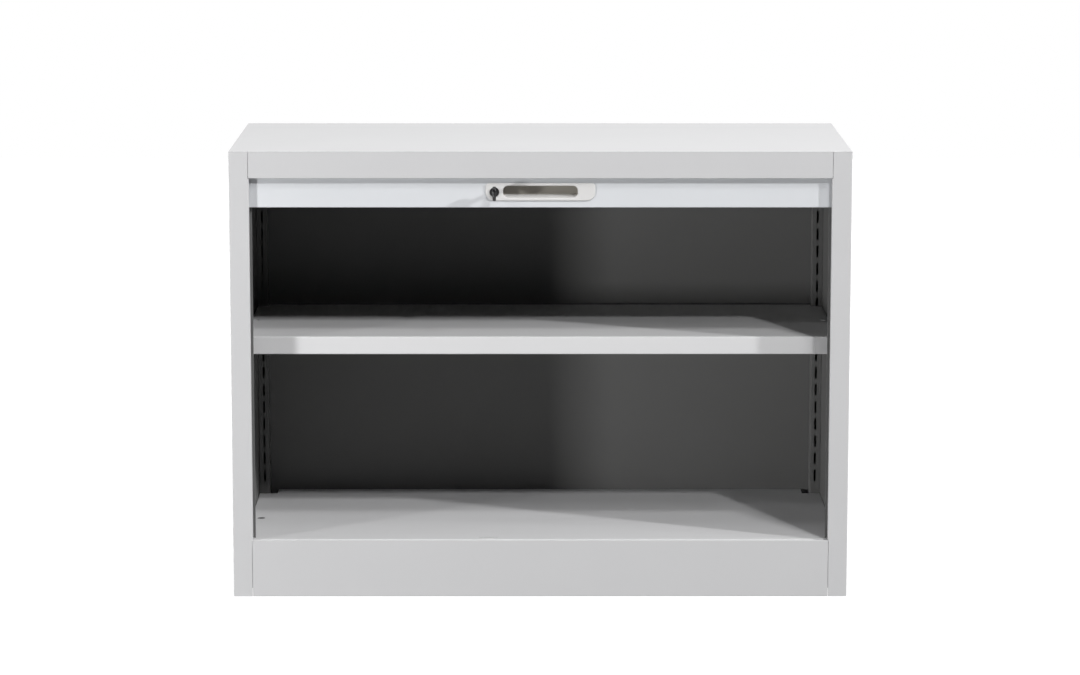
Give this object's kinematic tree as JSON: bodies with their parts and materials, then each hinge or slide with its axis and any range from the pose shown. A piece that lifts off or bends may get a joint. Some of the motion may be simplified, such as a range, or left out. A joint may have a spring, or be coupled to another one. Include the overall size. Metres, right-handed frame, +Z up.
{
  "type": "roller shutter sideboard",
  "caption": "Low grey steel cabinet with a slatted shutter shown open, a shelf on clips in slotted uprights, a recessed plinth channel, and a grip and lock on the shutter's end rail.",
  "frame": {"origin": "on the floor, under the middle of the whole outline, key included", "axes": "+X to the right as seen from the front, +Y towards the back, +Z up; the open front faces -Y"},
  "size_m": [1, 0.456, 0.73],
  "materials": {
    "grey_paint": "light grey powder coat, fine texture",
    "inner_paint": "light grey powder coat, fine texture",
    "rail_paint": "pale blue grey paint, satin",
    "shutter_plastic": "pale blue grey, satin",
    "track_plastic": "grey, matt",
    "handle_plastic": "warm light grey, fine texture",
    "cap_plastic": "black, matt",
    "plug_plastic": "dark grey, matt",
    "foot_plastic": "black, matt",
    "lock_plastic": "black, gloss",
    "lock_steel": "dark, machined",
    "key_steel": "nickel, satin",
    "key_plastic": "black, satin",
    "zinc_steel": "zinc plated, satin"
  },
  "bodies": {
    "carcase": {"side_panel_left": "grey_paint", "side_panel_right": "grey_paint", "top_panel": "grey_paint", "header_panel": "grey_paint", "plinth_front": "grey_paint", "plinth_rear": "grey_paint", "back_panel": "grey_paint", "deck": "inner_paint", "inner_back_panel": "inner_paint", "top_liner": "inner_paint", "side_liner_left": "inner_paint", "side_liner_right": "inner_paint", "front_track_left": "track_plastic", "front_track_right": "track_plastic", "front_corner_track_left": "track_plastic", "front_corner_track_right": "track_plastic", "top_track_left": "track_plastic", "top_track_right": "track_plastic", "rear_corner_track_left": "track_plastic", "rear_corner_track_right": "track_plastic", "rear_track_left": "track_plastic", "rear_track_right": "track_plastic", "slotted_upright_front_left": "zinc_steel", "slotted_upright_front_right": "zinc_steel", "slotted_upright_rear_left": "zinc_steel", "slotted_upright_rear_right": "zinc_steel", "shelf_clip_front_left": "zinc_steel", "shelf_clip_front_right": "zinc_steel", "shelf_clip_rear_left": "zinc_steel", "shelf_clip_rear_right": "zinc_steel", "foot_bracket_front_left": "zinc_steel", "foot_bracket_front_right": "zinc_steel", "foot_bracket_rear_left": "zinc_steel", "foot_bracket_rear_right": "zinc_steel", "deck_plug": "plug_plastic", "lock_strike": "zinc_steel", "shutter_curtain": "shutter_plastic"},
    "end_rail": {"end_rail": "rail_paint", "end_rail_cap_left": "cap_plastic", "end_rail_cap_right": "cap_plastic", "handle_shell": "handle_plastic", "lock_housing": "lock_plastic", "lock_nut": "zinc_steel"},
    "lock_cylinder": {"lock_cylinder": "lock_steel", "lock_cam": "zinc_steel", "cam_screw": "zinc_steel"},
    "key": {"key_blade": "key_steel", "key_bow": "key_plastic"},
    "shelf": {"shelf": "inner_paint", "shelf_stiffener": "inner_paint"},
    "levelling_foot_front_left": {"foot_stem_front_left": "zinc_steel", "foot_pad_front_left": "foot_plastic"},
    "levelling_foot_front_right": {"foot_stem_front_right": "zinc_steel", "foot_pad_front_right": "foot_plastic"},
    "levelling_foot_rear_left": {"foot_stem_rear_left": "zinc_steel", "foot_pad_rear_left": "foot_plastic"},
    "levelling_foot_rear_right": {"foot_stem_rear_right": "zinc_steel", "foot_pad_rear_right": "foot_plastic"}
  },
  "joints": [
    {"name": "shutter_slide", "type": "slide", "parent": "carcase", "child": "end_rail", "axis": [0, 0, -1], "range_m": [0, 0.5447], "deforming": ["shutter_curtain"]},
    {"name": "lock_turn", "type": "hinge", "parent": "end_rail", "child": "lock_cylinder", "pos_m": [-0.074, -0.182, 0.66355], "axis": [0, -1, 0], "range_deg": [0, 90]},
    {"name": "key_pull", "type": "slide", "parent": "lock_cylinder", "child": "key", "axis": [0, -1, 0], "range_m": [0, 0.022]},
    {"name": "shelf_lift", "type": "slide", "parent": "carcase", "child": "shelf", "axis": [0, 0, 1], "range_m": [0, 0.025]},
    {"name": "foot_front_left", "type": "slide", "parent": "carcase", "child": "levelling_foot_front_left", "axis": [0, 0, -1], "range_m": [0, 0.015]},
    {"name": "foot_front_right", "type": "slide", "parent": "carcase", "child": "levelling_foot_front_right", "axis": [0, 0, -1], "range_m": [0, 0.015]},
    {"name": "foot_rear_left", "type": "slide", "parent": "carcase", "child": "levelling_foot_rear_left", "axis": [0, 0, -1], "range_m": [0, 0.015]},
    {"name": "foot_rear_right", "type": "slide", "parent": "carcase", "child": "levelling_foot_rear_right", "axis": [0, 0, -1], "range_m": [0, 0.015]}
  ]
}
